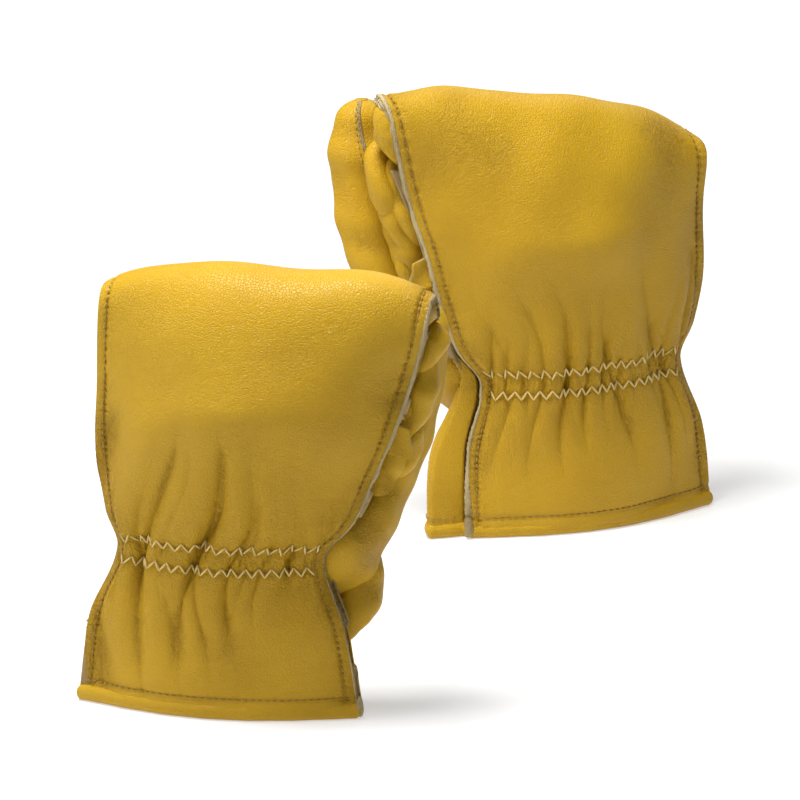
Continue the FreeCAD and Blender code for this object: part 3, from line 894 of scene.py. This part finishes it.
def surface_at(grid, normal, row, column):
    """Point and normal of a grid at fractional rows and columns."""
    r0 = np.clip(np.floor(row).astype(int), 0, grid.shape[0] - 2)
    c0 = np.clip(np.floor(column).astype(int), 0, grid.shape[1] - 2)
    fr, fc = (row - r0)[:, None], (column - c0)[:, None]

    def mix(values):
        low = values[r0, c0] * (1 - fc) + values[r0, c0 + 1] * fc
        high = values[r0 + 1, c0] * (1 - fc) + values[r0 + 1, c0 + 1] * fc
        return low * (1 - fr) + high * fr

    return mix(grid), mix(normal)


def seam_path(grid, end, inset):
    """Where a seam runs down one side of a panel, inset from its edge, at every row."""
    normal = normals_of(grid)
    rows = np.arange(grid.shape[0] - 1, dtype=float)
    step = -1 if end > 0 else 1
    edge = grid.shape[1] - 1 if end > 0 else 0
    columns = []
    for r in range(grid.shape[0] - 1):
        columns.append(edge + step * np.interp(inset, walked(grid[r, ::step]), np.arange(grid.shape[1])))
    return surface_at(grid, normal, rows, np.array(columns))


def spaced(points, facing, pitch, start=0.0):
    """Middles along a path every pitch, the way it runs there, and the way it faces."""
    far = walked(points)
    at = np.arange(start + pitch / 2, far[-1] - pitch / 2, pitch)

    def read(values, where):
        return np.stack([np.interp(where, far, values[:, k]) for k in range(3)], -1)

    way = read(points, at + pitch / 4) - read(points, at - pitch / 4)
    return read(points, at), way, read(facing, at)


def lockstitch(name, glove, line, facing, pitch=2.9, length=2.2, thick=0.75, lift=0.12, start=0.0):
    middles, way, out = spaced(line, facing, pitch, start)
    return sew(name, glove, middles + out * lift, way, out, length, thick)


ZIGZAG_PITCH, ZIGZAG_SWING, ZIGZAG_STITCH, ZIGZAG_THREAD = 2.75, 1.9, 5.1, 0.85
ZIGZAG_FROM, ZIGZAG_TO = 4, 210
THUMB_SEAM_FROM, THUMB_SEAM_TO = 121.0, 176
RIDGE = ((-0.9, -0.5), (-0.7, 0.7), (-0.1, 0.9), (0.0, 0.6), (0.1, 0.9), (0.7, 0.7), (0.9, -0.5))
for name, glove in GLOVES.items():
    for side, end in (("little", -1), ("index", 1)):
        line, facing = seam_path(glove["back"], end, SEAM_INSET)
        row = lockstitch(f"{name}_{side}_seam_thread", glove, line, facing, SEAM_PITCH, 2.1, start=7.0)
        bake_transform(row)
        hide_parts(f"{name}_{side}_seam_stitch")

    normal = normals_of(glove["back"])
    heights = glove["back"][:WALL_ROWS, MIDDLE, 2]
    whole_width = np.linspace(ZIGZAG_FROM, ZIGZAG_TO, 400)

    def along_width(height, columns=whole_width):
        rows = np.interp(height, heights, np.arange(WALL_ROWS))
        return surface_at(glove["back"], normal, np.broadcast_to(rows, columns.shape), columns)

    row = lockstitch(name + "_hem_thread_back", glove, *along_width(HEM_LINE))
    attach(row, name + "_hand")
    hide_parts(name + "_hem_stitch")

    level = np.full(500, (HEM_LINE - HEM_TOP) / (PALM_TOP - HEM_TOP) * (PALM_ROWS - 1))
    columns = np.linspace(3, PALM_COLUMNS - 4, 500)
    line, facing = surface_at(glove["palm"], normals_of(glove["palm"]), level, columns)
    row = lockstitch(name + "_hem_thread_palm", glove, line, facing)
    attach(row, name + "_hand")

    rows, columns = np.full(400, len(glove["back"]) - 7.0), np.linspace(22, 196, 400)
    row = lockstitch(name + "_knuckle_seam_thread", glove, *surface_at(glove["back"], normal, rows, columns))
    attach(row, name + "_fold")

    for finger, grid in glove["finger_grids"].items():
        away = unit(grid - grid.mean(1, keepdims=True))
        rows = np.linspace(5, FINGER_ROWS - 8, 120)
        parts = []
        for column in (3.5, 28.5):
            line, facing = surface_at(grid, away, rows, np.full(120, column))
            parts.append(spaced(line, facing, 2.8))
        middles, way, out = (np.concatenate(values) for values in zip(*parts))
        row = sew(f"{name}_{finger}_finger_thread", glove, middles + out * 0.1, way, out, 2.0, 0.7)
        start, end = glove["finger_bends"][finger]
        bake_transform(row)

    for level, sign in (("upper", 1), ("lower", -1)):
        height = WRIST + sign * ROWS_APART
        line, facing = along_width(height)
        corners, _, _ = spaced(line, facing, ZIGZAG_PITCH, start=2.0)
        columns = np.interp(corners[:, 0], line[:, 0], whole_width)
        ends, faces = along_width(height + ZIGZAG_SWING * (-1) ** np.arange(len(columns)), columns)
        ends = ends + faces * 0.35
        middles = (ends[1:] + ends[:-1]) / 2 + (faces[1:] + faces[:-1]) * 0.05
        row = sew(f"{name}_zigzag_thread_{level}", glove, middles, ends[1:] - ends[:-1], faces[1:],
                  ZIGZAG_STITCH, ZIGZAG_THREAD, pale_thread)
        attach(row, name + "_hand")
        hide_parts(f"{name}_zigzag_{level}")

    grid = glove["thumb_grid"]
    normal = unit(grid - grid.mean(1, keepdims=True))
    heights = grid[:, 0, 2]
    rows = np.arange(float(np.searchsorted(heights, THUMB_SEAM_FROM)), THUMB_ROWS - 4.0, 0.5)
    height = np.interp(rows, np.arange(THUMB_ROWS), heights)
    columns = np.interp(height, (THUMB_SEAM_FROM, THUMB_SEAM_TO), (44.5, 54.5))
    line, facing = surface_at(grid, normal, rows, columns)
    row = lockstitch(name + "_thumb_seam_thread", glove, line, unit(facing), SEAM_PITCH, 2.0, 0.7, 0.1)
    start, end = glove["thumb_bend"]
    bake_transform(row)
    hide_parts(name + "_thumb_stitch")
    line, facing = surface_at(grid, normal, rows, columns - 1.6)
    facing = unit(facing)
    side = unit(np.cross(np.gradient(line, axis=0), facing))
    strip = raw_strip(name + "_thumb_seam_edge", glove, line, side, facing, RIDGE, glove["seed"] + 9)
    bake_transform(strip)


# ---------------------------------------------------------------------------------------
# Wrist elastic.  A knitted band is sewn flat inside the back panel, under the zigzags.


def ribs(tree):
    place = node(tree, "ShaderNodeTexCoord").outputs["Object"]
    rib = node(tree, "ShaderNodeTexWave", {"Vector": place}, {"Scale": 260.0, "Distortion": 0.6},
               bands_direction="Z")
    return rib.outputs["Fac"]


BAND_HALF, BAND_DEPTH, BAND_THICK = 6.5, 3.6, 0.8
knitted = fibre_finish("Knitted elastic", (0.55, 0.53, 0.48), (0.80, 0.79, 0.74), ribs, 0.5, 0.0003, 0.85)
for name, glove in GLOVES.items():
    across = np.linspace(-0.8, 0.8, 120)
    z = np.linspace(WRIST - BAND_HALF, WRIST + BAND_HALF, 20)[:, None]
    grid = back_wall(glove, across[None, :], z)
    grid[..., 1] += SHELL + BAND_DEPTH
    band = hide_sheet(name + "_elastic_band", glove, grid, np.zeros(grid.shape[:2]), BAND_THICK)
    for slot_number in range(3):
        band.data.materials[slot_number] = knitted
    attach(band, name + "_hand")
    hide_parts(name + "_wrist_elastic")


# ---------------------------------------------------------------------------------------
# Floor, studio light and camera.  A pale floor, soft light from above and in front.

floor_mesh = bpy.data.meshes.new("floor")
corners = [(-20, -20, 0), (20, -20, 0), (20, 20, 0), (-20, 20, 0)]
floor_mesh.from_pydata(corners, [], [(0, 1, 2, 3)])
floor = bpy.data.objects.new("floor", floor_mesh)
bpy.context.scene.collection.objects.link(floor)
pale, floor_tree, floor_shader = new_finish("Pale floor")
floor_shader.inputs["Base Color"].default_value = (0.55, 0.55, 0.55, 1)
floor_shader.inputs["Roughness"].default_value = 0.9
floor_shader.inputs["Emission Strength"].default_value = 1.0
where = node(floor_tree, "ShaderNodeSeparateXYZ",
             {"Vector": node(floor_tree, "ShaderNodeTexCoord").outputs["Object"]})
glow = node(floor_tree, "ShaderNodeMapRange", {"Value": where.outputs["Y"]},
            {"From Min": 0.45, "From Max": 1.4, "To Min": 0.46, "To Max": 1.0})
wire(floor_tree, floor_shader, {"Emission Color": glow.outputs["Result"]})
floor_mesh.materials.append(pale)

world = bpy.data.worlds.new("studio")
world.use_nodes = True
world.node_tree.nodes["Background"].inputs["Color"].default_value = (1, 1, 1, 1)
world.node_tree.nodes["Background"].inputs["Strength"].default_value = 0.15
bpy.context.scene.world = world
bpy.context.scene.view_settings.view_transform = "Standard"


def soft_box(name, place_at, size, power, target=(0, 0, 0.09)):
    light = bpy.data.lights.new(name, "AREA")
    light.shape = "RECTANGLE"
    light.size, light.size_y, light.energy = size[0], size[1], power
    lamp = bpy.data.objects.new(name, light)
    lamp.location = place_at
    lamp.rotation_euler = (Vector(target) - Vector(place_at)).to_track_quat("-Z", "Y").to_euler()
    bpy.context.scene.collection.objects.link(lamp)


soft_box("overhead_box", (-0.18, -0.16, 1.05), (0.40, 0.35), 16.5)
soft_box("left_box", (-1.2, -0.45, 0.45), (0.35, 0.35), 3.4)
soft_box("rear_box", (0.3, 1.2, 0.9), (0.9, 0.5), 4.0)

VIEW_ANGLE, VIEW_DISTANCE, VIEW_WIDTH = math.radians(16), 6.0, 0.320
camera_data = bpy.data.cameras.new("camera")
camera_data.sensor_width = 36
camera_data.lens = 36 * VIEW_DISTANCE / VIEW_WIDTH
camera_data.clip_end = 50
camera = bpy.data.objects.new("camera", camera_data)
bpy.context.scene.collection.objects.link(camera)
target = Vector((-0.0008, 0.0, 0.0856))
back_off = Vector((0, -math.cos(VIEW_ANGLE), math.sin(VIEW_ANGLE)))
camera.location = target + back_off * VIEW_DISTANCE
camera.rotation_euler = (-back_off).to_track_quat("-Z", "Y").to_euler()
bpy.context.scene.camera = camera
